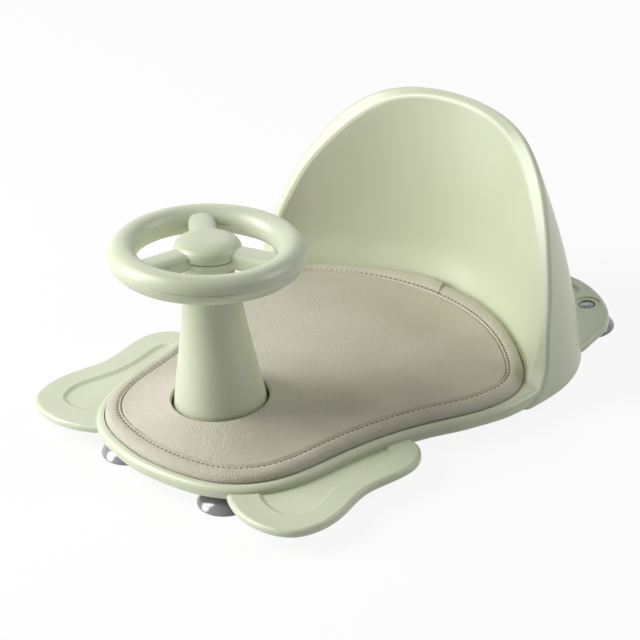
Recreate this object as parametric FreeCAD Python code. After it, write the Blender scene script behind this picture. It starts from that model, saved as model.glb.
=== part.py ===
import FreeCAD, Part
import math
import os

from FreeCAD import Matrix, Placement, Rotation, Vector

# Baby bath seat: one moulded shell with a bucket backrest, two front fins and a tail, a sewn pad,
# four suction cups and a steering wheel that spins on a tapered column.
# Plan sizes are told from the seat centre: +X is the child's left, +Y is the back, +Z is up.
# Heights are told from the surface that the suction cups stand on.

# Plan of the seat
seat_radius = 150.0             # seat centre to the pad's rear edge, the size that every outline follows
column_reach = 97.0             # seat centre forward to the steering column

# Heights and walls of the moulded shell
skirt_z = 14.5                  # underside of rim, fins and tail
rim_height = 9.5                # skirt to the top of the rolled rim
rim_width = 5.7                 # rolled rim, from the pad's gap outwards
rim_round = 4.6                 # rolled top edge of the rim
skirt_round = 2.2               # lower edge of the rim
tray_depth = 3.5                # rim top down to the floor under the pad
wall = 2.6                      # moulded wall
back_height = 160.0             # tray floor to the top of the backrest
crest_roll = 4.6                # rounding of the backrest's free edge towards the child
crest_round = 2.6               # rounding of its rear edge
crest_solid = 15.0              # free edge left solid above the hollow
fin_height = 5.0                # fins and tail, underside to top
fin_round = 3.0                 # rounded top edge of fins and tail
recess_depth = 1.8              # sunk panel in each fin and in the tail
recess_slope = 3.0              # width of the soft ramp round a sunk panel
recess_round = 2.0              # rounding of the ramp's upper and lower bends
rib_thickness = 2.0             # stiffening ribs under the tray
rib_setback = 1.0               # ribs stop short of the skirt's edge

# Mound under the steering column
mound_rise = 14.5               # tray floor to the flat top of the mound
mound_top_radius = 37.0         # flat seat of the column

# Pad
pad_gap = 0.8                   # pad to rim, and pad to backrest
lift = 0.3                      # soft pad clear of the tray
pad_thickness = 10.5            # tray floor to the seam line
crown = 1.8                     # middle of the pad above its seam line
binding_width = 11.0            # band round the edge
seam_depth = 1.3                # sewn channel between band and top panel
seam_slope = 1.6                # width of each side of the channel
cover_skin = 1.2                # top panel of imitation leather
backing_skin = 0.8              # cloth under the foam
hole_gap = 0.85                 # pad hole to the column's foot
seam_gap = 0.1                  # band to top panel

# Snap studs that hold the pad in the tray
stud_flange_radius = 7.0
stud_flange = 1.0
stud_pin_radius = 3.0
stud_barb_radius = 3.5
stud_length = 5.6
stud_fit = 0.15

# Steering column
column_foot_radius = 34.4
column_top_radius = 17.8
column_rise = 112.5             # mound to the column's head
column_wall = 2.8
column_head = 5.0               # closed top of the column
wheel_tilt = 5.0                # degrees that the wheel leans towards the child
foot_screw_circle = 26.5        # radius of the three screws under the column
foot_boss_radius = 4.2
foot_boss_height = 20.0
foot_screw_count = 3

# Steering wheel, told from the middle plane of its rim
rim_circle = 59.7               # wheel centre to the middle of the rim's tube
tube_radius = 10.3
wheel_wall = 2.2
hub_radius = 24.0
dome_height = 12.2              # top of the hub above the middle plane
hub_seam = 1.6                  # lower edge of the domed hub above the middle plane
hub_drop = 13.0                 # underside of the hub below the middle plane
hub_under_radius = 16.0
spoke_width = 20.0
spoke_crown = 7.4               # spoke above the middle plane
spoke_belly = 6.4               # spoke below the middle plane
spoke_count = 3
parting_groove = 0.35           # fine groove where the two shells of the wheel meet
hub_step = 0.5                  # lower hub inside the edge of the domed hub
seam_groove = 1.3               # depth of the groove under the domed hub's edge
wheel_turn = -8.0               # degrees that the wheel is drawn turned
wheel_gap = 0.3                 # hub over the column's head
shell_screw_circle = 38.0
shell_boss_radius = 3.4
shell_screw_seat = 2.2          # screw's seat below the middle plane

# Spindle, bush and retaining screw
spindle_radius = 6.0
bush_fit = 0.05
bush_radius = 8.0
bush_flange_radius = 10.2
bush_flange = 1.4
spindle_flange_radius = 9.5
spindle_flange = 3.0
end_play = 0.2                  # washer over the bush
washer_radius = 9.0
washer_thickness = 1.2

# Screws
foot_screw_radius = 2.0
foot_screw_head_radius = 3.8
foot_screw_head = 2.4
foot_screw_length = 16.0
shell_screw_radius = 1.4
shell_screw_head_radius = 2.7
shell_screw_head = 1.8
shell_screw_length = 7.0
axle_screw_radius = 2.0
axle_screw_head_radius = 4.0
axle_screw_head = 2.6
axle_screw_length = 12.0
screw_hole_fit = 0.05
slot_share = 0.55               # cross slot's reach as a share of the head
slot_width_share = 0.18
slot_depth_share = 0.5

# Suction cups
cup_radius = 21.0
web_thickness = 2.2             # web that the cup's neck passes through, level with the skirt
neck_radius = 3.8
neck_fit = 0.2
head_radius = 5.8
head_height = 2.2
socket_radius = 6.8             # open well above the web, round the cup's head
socket_wall = 2.6
well_ring_radius = 10.4         # shallow round recess about the well of a rear cup
well_ring_depth = 0.8
cup_core_radius = 8.0
cup_lip = 0.9
cup_skin = 2.2

overrun = 1.0                   # how far a cutting body passes a face
outline_steps = 28              # points that a grown outline is drawn through
hair = 0.01                     # tolerance for finding edges
rim_steps = 64                  # points that the rim's outline is drawn through
foot_setback = 1.6              # rim inside the backrest's outer wall at its foot

# Outlines as angle about the seat centre, in degrees from +X, and distance as a share of seat_radius
pad_outline_shares = [
    (-90, 1.119), (-79, 1.117), (-68, 1.106), (-60, 1.062), (-52, 0.98), (-40, 0.838), (-24, 0.752),
    (-4, 0.776), (9, 0.88), (17, 0.96), (24, 1.012), (31, 1.030), (40, 1.012), (50, 0.99),
    (68, 0.98), (90, 0.99)]
foot_outline_shares = [
    (-90, 0.40), (-30, 0.60), (0, 0.85), (20, 1.06), (30, 1.16), (38, 1.248), (45, 1.294), (53, 1.327),
    (64, 1.35), (77, 1.36), (90, 1.36)]
waist_outline_shares = [
    (-90, 0.40), (-30, 0.60), (0, 0.825), (20, 1.008), (30, 1.103), (38, 1.172), (45, 1.226), (53, 1.274),
    (64, 1.302), (77, 1.312), (90, 1.314)]
top_outline_shares = [
    (-90, 0.40), (-30, 0.60), (0, 0.76), (20, 0.90), (30, 0.958), (38, 0.992), (45, 1.028), (53, 1.08),
    (64, 1.13), (77, 1.15), (90, 1.155)]
waist_share = 0.40
# Inner face of the backrest: height as a share of back_height, growth of the pad outline as a share
bucket_shares = [(-0.06, 0.013), (0.04, 0.018), (0.12, 0.05), (0.23, 0.077), (0.44, 0.093), (0.72, 0.102),
                 (1.06, 0.108)]
# Free edge of the backrest seen from the side: distance back and height
crest_shares = [(0.34, -0.08), (0.43, -0.035), (0.515, 0.008), (0.58, 0.09), (0.622, 0.23), (0.69, 0.39),
                (0.768, 0.56), (0.878, 0.745), (0.968, 0.872), (1.04, 0.945), (1.11, 0.985), (1.19, 1.0)]
# Fins, tail and their sunk panels as X and Y shares of seat_radius
fin_shares = [
    (0.425, -1.03), (0.592, -1.115), (0.775, -1.126), (0.915, -1.06), (0.968, -0.93), (0.958, -0.78),
    (0.918, -0.61), (0.938, -0.44), (0.938, -0.28), (0.84, -0.165), (0.64, -0.20), (0.42, -0.55),
    (0.34, -0.88)]
fin_panel_shares = [
    (0.57, -0.955), (0.68, -1.00), (0.79, -0.985), (0.845, -0.88), (0.82, -0.74), (0.79, -0.60),
    (0.80, -0.44), (0.795, -0.30), (0.66, -0.27), (0.47, -0.55), (0.48, -0.80)]
tail_shares = [
    (0.0, 1.49), (0.20, 1.52), (0.36, 1.538), (0.545, 1.492), (0.704, 1.388), (0.80, 1.254), (0.832, 1.11),
    (0.845, 0.98), (0.74, 0.84), (0.0, 0.90)]
tail_panel_shares = [
    (0.0, 1.395), (0.16, 1.415), (0.28, 1.442), (0.38, 1.468), (0.45, 1.46), (0.478, 1.425), (0.455, 1.388),
    (0.38, 1.355), (0.24, 1.32), (0.0, 1.30)]
mound_shares = [(0.0, -0.385), (0.30, -0.29), (0.45, -0.02), (0.40, 0.30), (0.22, 0.50), (0.0, 0.56)]
# Side of the mound: how far out, and how much of the rise is left
mound_side_shares = [(0.0, 1.0), (0.1, 0.98), (0.3, 0.82), (0.55, 0.43), (0.8, 0.10), (1.0, -0.06)]
# Pad: crown of the top panel by scale and rise, and the band's section by inset and height
crown_shares = [(0.90, 0.34), (0.78, 0.62), (0.58, 0.86), (0.33, 1.0)]
band_shares = [(0.16, 0.035), (0.03, 0.17), (0.0, 0.36), (0.05, 0.60), (0.20, 0.81), (0.48, 0.95),
               (0.80, 1.0), (1.0, 0.86)]
# Column: height and how much of the flare is left
column_shares = [(0.0, 1.0), (0.085, 0.915), (0.22, 0.78), (0.51, 0.45), (0.775, 0.205), (1.0, 0.0),
                 (1.05, -0.03)]
# Hub dome: reach as a share of hub_radius, height between the hub's seam and its top
dome_shares = [(1.0, 0.0), (1.0, 0.28), (0.93, 0.62), (0.75, 0.85), (0.42, 0.97), (0.0, 1.0)]
# Spoke's arched section: half width and height
spoke_section_shares = [(1.0, 0.0), (0.965, 0.40), (0.83, 0.74), (0.48, 0.95), (0.0, 1.0)]
# Places
front_cup_share = (0.34, -0.955)
rear_cup_share = (0.585, 1.36)
stud_place_shares = [(0.62, 0.25), (0.40, -0.36)]
rib_place_shares = [-0.55, -0.2, 0.15, 0.5, 0.8]
long_rib_share = 0.36
spoke_angles = [wheel_turn - 90 + turn*360/spoke_count for turn in range(spoke_count)]

# Sizes that follow
rim_top_z = skirt_z + rim_height
floor_z = rim_top_z - tray_depth
fin_top_z = skirt_z + fin_height
back_top_z = floor_z + back_height
mound_z = floor_z + mound_rise
seam_z = floor_z + pad_thickness
column_top_z = mound_z + column_rise
wheel_z = column_top_z + wheel_gap + hub_drop
cup_web_z = skirt_z
column_place = Vector(0, -column_reach, 0)
tilt = Rotation(Vector(1, 0, 0), -wheel_tilt)
wheel_place = Placement(Vector(0, -column_reach, wheel_z), tilt)


def mirrored(shape):
    """The same shape on the other side of the seat."""
    return shape.mirror(Vector(0, 0, 0), Vector(1, 0, 0))


def both_sides(shape):
    """A shape and its mirror image, as a list."""
    return [shape, mirrored(shape)]


def closed_spline(points):
    """One smooth closed curve through the points."""
    curve = Part.BSplineCurve()
    curve.interpolate(Points=points, PeriodicFlag=True)
    return curve


def polar_outline(shares):
    """A closed outline, alike on both sides, from angles and distances about the seat centre."""
    half = [Vector(share*seat_radius*math.cos(math.radians(angle)),
                   share*seat_radius*math.sin(math.radians(angle)), 0) for angle, share in shares]
    other = [Vector(-point.x, point.y, 0) for point in half[-2:0:-1]]
    half[0].x = 0
    half[-1].x = 0
    return closed_spline(half + other)


def flat_outline(shares, centre=Vector(0, 0, 0)):
    """A closed outline from X and Y shares; one that touches X = 0 at both ends is mirrored."""
    points = [centre + Vector(across*seat_radius, along*seat_radius, 0) for across, along in shares]
    if shares[0][0] == 0 and shares[-1][0] == 0:
        points += [Vector(-point.x, point.y, 0) for point in points[-2:0:-1]]
    return closed_spline(points)


def curve_points(curve, steps):
    """Points spread along a closed curve, each with the direction out of it."""
    first = curve.FirstParameter
    span = curve.LastParameter - first
    points = [curve.value(first + span*step/steps) for step in range(steps)]
    turning = sum(point.x*after.y - point.y*after.x
                  for point, after in zip(points, points[1:] + points[:1]))
    side = 1 if turning > 0 else -1
    result = []
    for step, point in enumerate(points):
        along = curve.tangent(first + span*step/steps)[0]
        result.append((point, Vector(along.y, -along.x, 0)*side))
    return result


def grown(curve, amount):
    """A closed curve moved outwards by an amount, measured square to the curve."""
    return closed_spline([point + outward*amount for point, outward in curve_points(curve, outline_steps)])


def rim_outline():
    """The rolled rim: a steady growth of the pad line that widens into the backrest's foot."""
    foot = [(math.atan2(point.y, abs(point.x)), point.Length - foot_setback)
            for point, outward in curve_points(polar_outline(foot_outline_shares), 4*rim_steps)]
    foot.sort()
    points = []
    for point, outward in curve_points(pad_line, rim_steps):
        rim = point + outward*(pad_gap + rim_width)
        angle = math.atan2(rim.y, abs(rim.x))
        reach = min(foot, key=lambda place: abs(place[0] - angle))[1]
        if angle > 0 and reach > rim.Length:
            rim = rim*(reach/rim.Length)
        points.append(rim)
    return closed_spline(points)


def wire_at(curve, height, scale=1.0):
    """A wire of a flat curve, shrunk about the seat centre and lifted to a height."""
    edge = curve.toShape()
    if scale != 1.0:
        shrink = Matrix()
        shrink.scale(scale, scale, 1)
        edge = edge.transformGeometry(shrink)
    edge.translate(Vector(0, 0, height))
    return Part.Wire(edge)


def prism(curve, low, high):
    """A straight body with a closed curve for its plan."""
    return Part.Face(wire_at(curve, low)).extrude(Vector(0, 0, high - low))


def stack(curves_and_heights):
    """A smooth body through closed curves, one above the other."""
    wires = [wire_at(curve, height) for curve, height in curves_and_heights]
    return Part.makeLoft(wires, True, False)


def edges_at(shape, height):
    """The edges that lie flat at a height."""
    return [edge for edge in shape.Edges
            if abs(edge.BoundBox.ZMin - height) < hair and abs(edge.BoundBox.ZMax - height) < hair]


def cylinder(radius, height, place, direction=Vector(0, 0, 1)):
    """A cylinder from its foot point."""
    return Part.makeCylinder(radius, height, place, direction)


def turned(points):
    """A body turned about Z from a half section of straight lines."""
    corners = [Vector(radius, 0, height) for radius, height in points]
    section = Part.Face(Part.makePolygon(corners + corners[:1]))
    return section.revolve(Vector(0, 0, 0), Vector(0, 0, 1), 360)


def turned_curve(curve_points, end_points):
    """A body turned about Z whose outer face is a smooth curve, closed by straight lines."""
    outer = Part.BSplineCurve()
    outer.interpolate([Vector(radius, 0, height) for radius, height in curve_points])
    corners = [Vector(radius, 0, height) for radius, height in [curve_points[-1]] + end_points
               + [curve_points[0]]]
    edges = [outer.toShape()]
    for start, finish in zip(corners, corners[1:]):
        edges.append(Part.makeLine(start, finish))
    section = Part.Face(Part.Wire(edges))
    return section.revolve(Vector(0, 0, 0), Vector(0, 0, 1), 360)


def crossed_screw(radius, length, head_radius, head_height):
    """A pan-head screw, head down, its head's seat at height zero and its shank above."""
    screw = turned([(0, -head_height), (head_radius*0.7, -head_height), (head_radius, -head_height*0.55),
                    (head_radius, 0), (radius, 0), (radius, length*0.86), (radius*0.35, length),
                    (0, length)])
    reach = head_radius*slot_share
    width = head_radius*slot_width_share
    depth = head_height*slot_depth_share
    for across, along in ((reach, width), (width, reach)):
        slot = Part.makeBox(2*across, 2*along, depth + overrun,
                            Vector(-across, -along, -head_height - overrun))
        screw = screw.cut(slot)
    return screw


pad_line = polar_outline(pad_outline_shares)


def mound(rise_z):
    """The mound round the column: a smooth bell from its flat top down into the floor."""
    outer = flat_outline(mound_shares, column_place)
    steps = []
    first = outer.FirstParameter
    span = outer.LastParameter - first
    for share, height_share in mound_side_shares:
        points = []
        for step in range(outline_steps):
            far = outer.value(first + span*step/outline_steps)
            near = column_place + (far - column_place).normalize()*mound_top_radius
            points.append(near + (far - near)*share)
        steps.append((closed_spline(points), rise_z - mound_rise*(1 - height_share)))
    steps.reverse()
    return stack(steps)


def bucket(extra=0.0):
    """The space inside the backrest, flaring from the pad's outline."""
    return stack([(grown(pad_line, growth*seat_radius + extra), floor_z + height*back_height)
                  for height, growth in bucket_shares])


def crest_cutter(lower=0.0, behind=0.0):
    """All that lies before and above the free edge of the backrest."""
    curve = Part.BSplineCurve()
    points = [Vector(0, back*seat_radius + behind, floor_z + height*back_height - lower)
              for back, height in crest_shares]
    curve.interpolate(points)
    start, finish = points[0], points[-1]
    reach = 2*seat_radius
    top = back_top_z + seat_radius
    corners = [finish, Vector(0, reach, finish.z), Vector(0, reach, top), Vector(0, -reach, top),
               Vector(0, -reach, -overrun), Vector(0, start.y, -overrun), start]
    edges = [curve.toShape()]
    for first, second in zip(corners, corners[1:]):
        edges.append(Part.makeLine(first, second))
    face = Part.Face(Part.Wire(edges))
    face.translate(Vector(-reach, 0, 0))
    return face.extrude(Vector(2*reach, 0, 0))


def outer_wall(shrink=0.0):
    """The leaning outer wall of the backrest, from its foot to above its free edge."""
    low = skirt_z - (overrun if shrink else 0)
    levels = [(foot_outline_shares, low), (waist_outline_shares, skirt_z + waist_share*back_height),
              (top_outline_shares, back_top_z + overrun)]
    return stack([(grown(polar_outline(shares), -shrink), height) for shares, height in levels])


def backrest():
    """Double-walled backrest before it is joined to the tray."""
    body = outer_wall().cut(bucket()).cut(crest_cutter())
    body = body.makeFillet(crest_roll, crest_edges(body)[:1])
    return body.makeFillet(crest_round, crest_edges(body)[-1:])


def crest_edges(body):
    """The edges that run along the free edge of the backrest, the innermost first."""
    edges = [edge for edge in body.Edges if edge.BoundBox.ZLength > back_height/2
             and edge.BoundBox.ZMax > back_top_z - tray_depth]
    return sorted(edges, key=lambda edge: edge.BoundBox.XLength)


def backrest_hollow():
    """The space between the two walls, open at the foot."""
    return outer_wall(wall).cut(bucket(wall)).cut(crest_cutter(crest_solid, crest_solid/2))


def plate(curve, panel_curve):
    """A flat fin with a rounded top edge and a panel sunk in it behind a soft ramp."""
    body = prism(curve, skirt_z, fin_top_z)
    body = body.makeFillet(fin_round, edges_at(body, fin_top_z))
    floor = grown(panel_curve, -recess_slope)
    ramp = Part.makeLoft([wire_at(floor, fin_top_z - recess_depth), wire_at(panel_curve, fin_top_z)],
                         True, True)
    body = body.cut(ramp.fuse(prism(panel_curve, fin_top_z, fin_top_z + overrun)))
    bends = edges_at(body, fin_top_z - recess_depth)
    bends += [edge for edge in edges_at(body, fin_top_z)
              if edge.BoundBox.DiagonalLength < grown(panel_curve, hair).toShape().BoundBox.DiagonalLength]
    return body.makeFillet(recess_round, bends)


def plate_hollow(curve, panel_curve):
    """The space under a fin, which keeps the wall even under its sunk panel."""
    hollow = prism(grown(curve, -wall), skirt_z - overrun, fin_top_z - wall)
    step = prism(grown(panel_curve, wall), fin_top_z - recess_depth - wall, fin_top_z)
    return hollow.cut(step)


def at_share(place, height=0.0):
    """A point from plan shares."""
    return Vector(place[0]*seat_radius, place[1]*seat_radius, height)


def cup_places():
    """The four suction cups by name."""
    front = at_share(front_cup_share)
    rear = at_share(rear_cup_share)
    return {"front_left": front, "front_right": Vector(-front.x, front.y, 0),
            "rear_left": rear, "rear_right": Vector(-rear.x, rear.y, 0)}


def foot_screw_points(height):
    """The three screws under the column."""
    points = []
    for turn in range(foot_screw_count):
        angle = math.radians(90 + turn*360/foot_screw_count)
        points.append(column_place + Vector(foot_screw_circle*math.cos(angle),
                                            foot_screw_circle*math.sin(angle), height))
    return points


def stud_points(height):
    """The snap studs of the pad."""
    points = []
    for across, along in stud_place_shares:
        for side in (1, -1):
            points.append(Vector(side*across*seat_radius, along*seat_radius, height))
    return points


def under_tray():
    """The space under the tray floor, less its ribs."""
    line = grown(pad_line, pad_gap)
    hollow = prism(line, skirt_z - overrun, floor_z - wall)
    hollow = hollow.fuse(mound(mound_z - wall))
    reach = 2*seat_radius
    low = skirt_z + rib_setback
    tall = mound_z - low
    ribs = []
    for share in rib_place_shares:
        ribs.append(Part.makeBox(reach, rib_thickness, tall,
                                 Vector(-reach/2, share*seat_radius - rib_thickness/2, low)))
    for side in (1, -1):
        ribs.append(Part.makeBox(rib_thickness, reach, tall,
                                 Vector(side*long_rib_share*seat_radius - rib_thickness/2,
                                        -reach/2, low)))
    return hollow.cut(ribs)


def seat_shell():
    """The one moulding: tray, rolled rim, backrest, fins and tail."""
    tray = prism(rim_outline(), skirt_z, rim_top_z)
    tray = tray.makeFillet(rim_round, edges_at(tray, rim_top_z))
    tray = tray.makeFillet(skirt_round, edges_at(tray, skirt_z))
    fin_line = flat_outline(fin_shares)
    fin_panel = flat_outline(fin_panel_shares)
    tail_line = flat_outline(tail_shares)
    tail_panel = flat_outline(tail_panel_shares)
    fin = plate(fin_line, fin_panel)
    tail = plate(tail_line, tail_panel)
    body = tray.fuse(both_sides(fin) + [tail, backrest()])
    body = body.cut(prism(grown(pad_line, pad_gap), floor_z, rim_top_z + overrun))
    body = body.fuse(mound(mound_z))
    inside_tray = prism(grown(pad_line, pad_gap + wall), 0, rim_top_z)
    back_keep = outer_wall()
    fin_hollow = plate_hollow(fin_line, fin_panel).cut(inside_tray)
    tail_hollow = plate_hollow(tail_line, tail_panel).cut(back_keep)
    hollows = both_sides(fin_hollow) + [tail_hollow, backrest_hollow().cut(inside_tray), under_tray()]
    body = body.cut(hollows)
    return body


def cup_socket(body):
    """The well, web and hole that hold each suction cup."""
    for name, place in cup_places().items():
        top = floor_z if name.startswith("front") else fin_top_z
        well_wall = cylinder(socket_radius + socket_wall, top - skirt_z, place + Vector(0, 0, skirt_z))
        body = body.fuse(well_wall)
        cuts = [cylinder(socket_radius, top, place + Vector(0, 0, cup_web_z + web_thickness)),
                cylinder(neck_radius + neck_fit, top, place), cylinder(socket_radius, cup_web_z, place)]
        if name.startswith("rear"):
            cuts.append(cylinder(well_ring_radius, top, place + Vector(0, 0, top - well_ring_depth)))
        body = body.cut(cuts)
    return body


def finish_shell(body):
    """Holes for the column's screws and the pad's studs."""
    body = cup_socket(body)
    for point in foot_screw_points(0):
        body = body.cut(cylinder(foot_screw_radius + screw_hole_fit, mound_z + overrun, point))
    for point in stud_points(floor_z - stud_flange):
        body = body.cut(cylinder(stud_flange_radius + stud_fit, stud_flange + overrun, point))
    for point in stud_points(0):
        body = body.cut(cylinder(stud_pin_radius + stud_fit, floor_z, point))
    return body


def suction_cup(place):
    """One soft cup: head, grooved neck, core and a thin bell down to its lip."""
    web_top = cup_web_z + web_thickness
    outer = turned_curve(
        [(cup_radius, cup_lip), (cup_radius*0.93, cup_lip + cup_skin), (cup_radius*0.68, cup_web_z*0.56),
         (cup_core_radius, cup_web_z*0.93)],
        [(cup_core_radius, cup_web_z), (neck_radius, cup_web_z), (neck_radius, web_top),
         (head_radius, web_top), (head_radius*0.9, web_top + head_height*0.6),
         (head_radius*0.45, web_top + head_height), (0, web_top + head_height), (0, 0), (cup_radius, 0)])
    hollow = turned_curve(
        [(cup_radius - cup_lip, -hair), (cup_radius*0.84, cup_skin), (cup_radius*0.55, cup_web_z*0.36),
         (0, cup_web_z*0.5)], [(0, -hair)])
    cup = outer.cut(hollow)
    cup.translate(place)
    return cup


def pad_hole():
    """The hole that the column passes through."""
    return cylinder(column_foot_radius + hole_gap, back_height,
                    column_place + Vector(0, 0, floor_z - overrun))


def panel_under(line, sink):
    """All that lies under the pad's crowned top panel, sunk by an amount."""
    edge_z = seam_z - seam_depth - sink
    straight = prism(line, floor_z - overrun, edge_z)
    shoulder = grown(line, -seam_slope)
    chamfer = Part.makeLoft([wire_at(line, edge_z), wire_at(shoulder, seam_z - sink)], True, True)
    rising = [wire_at(shoulder, seam_z - sink)]
    for scale, rise in crown_shares:
        rising.append(wire_at(line, seam_z - sink + crown*rise, scale))
    crowned = Part.makeLoft(rising, True, False)
    hill = mound(mound_z + pad_thickness - sink)
    return straight.fuse([chamfer, crowned, hill])


def floor_under(line, rise):
    """All that lies under a sheet laid on the tray floor and over its mound, at a height above it."""
    flat = prism(line, floor_z - overrun, floor_z + rise)
    return flat.fuse(mound(mound_z + rise))


def pad_parts():
    """Top panel, foam, backing and the sewn band round the edge."""
    line = grown(pad_line, -binding_width - seam_gap)
    hole = pad_hole()
    under_cover = panel_under(line, cover_skin)
    under_foam = floor_under(line, lift + backing_skin)
    cover = panel_under(line, 0).cut(under_cover).cut(hole)
    foam = under_cover.cut(under_foam).cut(hole)
    backing = under_foam.cut(floor_under(line, lift)).cut(hole)
    band = stack([(grown(pad_line, -inset*binding_width), floor_z + height*pad_thickness)
                  for inset, height in band_shares])
    band = band.cut(prism(grown(pad_line, -binding_width), 0, back_top_z))
    return {"pad_cover": cover, "pad_foam": foam, "pad_backing": backing, "pad_binding": band}


def pad_stud():
    """A snap stud: flange under the backing, pin through the tray and a barbed end."""
    pin_end = -stud_length
    return turned([(0, lift), (stud_flange_radius, lift), (stud_flange_radius, -stud_flange),
                   (stud_pin_radius, -stud_flange), (stud_pin_radius, -wall - stud_fit),
                   (stud_barb_radius, -wall - stud_fit - tray_depth*0.2),
                   (stud_pin_radius*0.6, pin_end), (0, pin_end)])


def tilted_space(level, below):
    """All that lies below or above a level of the leaning wheel."""
    reach = 2*seat_radius
    low = level - reach if below else level
    block = Part.makeBox(2*reach, 2*reach, reach, Vector(-reach, -reach, low))
    block.Placement = wheel_place.multiply(block.Placement)
    return block


def column_profile(shrink):
    """Radius and height down the column's flared side."""
    return [(column_top_radius + (column_foot_radius - column_top_radius)*flare - shrink,
             mound_z + height*column_rise) for height, flare in column_shares]


def steering_column():
    """Hollow tapered column with a closed head that leans with the wheel."""
    profile = column_profile(0)
    outer = turned_curve(profile, [(0, profile[-1][1]), (0, profile[0][1])])
    inside = column_profile(column_wall)
    inner = turned_curve(inside, [(0, inside[-1][1]), (0, inside[0][1] - hair),
                                  (inside[0][0], inside[0][1] - hair)])
    outer.translate(column_place)
    inner.translate(column_place)
    head_level = -hub_drop - wheel_gap
    outer = outer.cut(tilted_space(head_level, False))
    inner = inner.cut(tilted_space(head_level - column_head, False))
    column = outer.cut(inner)
    bosses = [cylinder(foot_boss_radius, foot_boss_height, point) for point in foot_screw_points(mound_z)]
    bosses = [boss.common(outer) for boss in bosses]
    column = column.fuse(bosses)
    holes = [cylinder(foot_screw_radius + screw_hole_fit, foot_screw_length, point)
             for point in foot_screw_points(mound_z)]
    bore = on_wheel(cylinder(spindle_radius + bush_fit, column_rise/2, Vector(0, 0, -column_rise/2)))
    return column.cut(holes + [bore])


def on_wheel(shape):
    """A shape drawn about the wheel's middle plane, put in its place."""
    placed = shape.copy()
    placed.Placement = wheel_place.multiply(placed.Placement)
    return placed


def spoke(angle, half_width, height, reach):
    """One spoke with an arched top, or an arched belly where the height is negative."""
    half = [Vector(0, half_width*across, height*up) for across, up in spoke_section_shares]
    points = half + [Vector(0, -point.y, point.z) for point in half[-2::-1]]
    arch = Part.BSplineCurve()
    arch.interpolate(points)
    section = Part.Face(Part.Wire([arch.toShape(), Part.makeLine(points[-1], points[0])]))
    body = section.extrude(Vector(reach, 0, 0))
    body.rotate(Vector(0, 0, 0), Vector(0, 0, 1), angle)
    return body


def half_tube(radius, upper):
    """Half of the rim's tube."""
    ring = Part.makeTorus(rim_circle, radius)
    reach = 2*rim_circle
    low = 0 if upper else -reach
    return ring.common(Part.makeBox(2*reach, 2*reach, reach, Vector(-reach, -reach, low)))


def hub_dome(shrink):
    """The domed hub, or its inside."""
    profile = [(reach*(hub_radius - shrink), hub_seam + (dome_height - shrink - hub_seam)*rise)
               for reach, rise in dome_shares]
    return turned_curve(profile, [(0, 0), (hub_radius - shrink, 0)])


def spoke_points(height):
    """A point on each spoke, on the circle of the shell's screws."""
    return [Vector(shell_screw_circle*math.cos(math.radians(angle)),
                   shell_screw_circle*math.sin(math.radians(angle)), height) for angle in spoke_angles]


def parting():
    """The fine groove round the rim, inside and outside."""
    return [Part.makeTorus(rim_circle + tube_radius, parting_groove),
            Part.makeTorus(rim_circle - tube_radius, parting_groove)]


def wheel_upper_shell():
    """Upper half of the rim, arched spokes and the domed hub, hollow."""
    half = spoke_width/2
    outer = half_tube(tube_radius, True)
    spokes = [spoke(angle, half, spoke_crown, rim_circle) for angle in spoke_angles]
    outer = outer.fuse(spokes + [hub_dome(0)])
    inner = half_tube(tube_radius - wheel_wall, True)
    channels = [spoke(angle, half - wheel_wall, spoke_crown - wheel_wall, rim_circle)
                for angle in spoke_angles]
    inner = inner.fuse(channels + [hub_dome(wheel_wall)])
    shell = outer.cut(inner)
    groove = cylinder(hub_radius + overrun, hub_seam, Vector(0, 0, 0))
    groove = groove.cut([cylinder(hub_radius - seam_groove, hub_seam, Vector(0, 0, 0))] + outer_arms(half))
    shell = shell.cut(groove)
    bosses = [cylinder(shell_boss_radius, spoke_crown - wheel_wall/2, point) for point in spoke_points(0)]
    shell = shell.fuse(bosses)
    holes = [cylinder(shell_screw_radius + screw_hole_fit, shell_screw_length - shell_screw_seat + hair,
                      point) for point in spoke_points(0)]
    return shell.cut(holes + parting())


def outer_arms(half):
    """The footprint of the spokes, past the hub."""
    arms = []
    for angle in spoke_angles:
        arm = Part.makeBox(rim_circle, 2*half, 2*hub_drop, Vector(0, -half, -hub_drop))
        arm.rotate(Vector(0, 0, 0), Vector(0, 0, 1), angle)
        arms.append(arm)
    return arms


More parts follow.
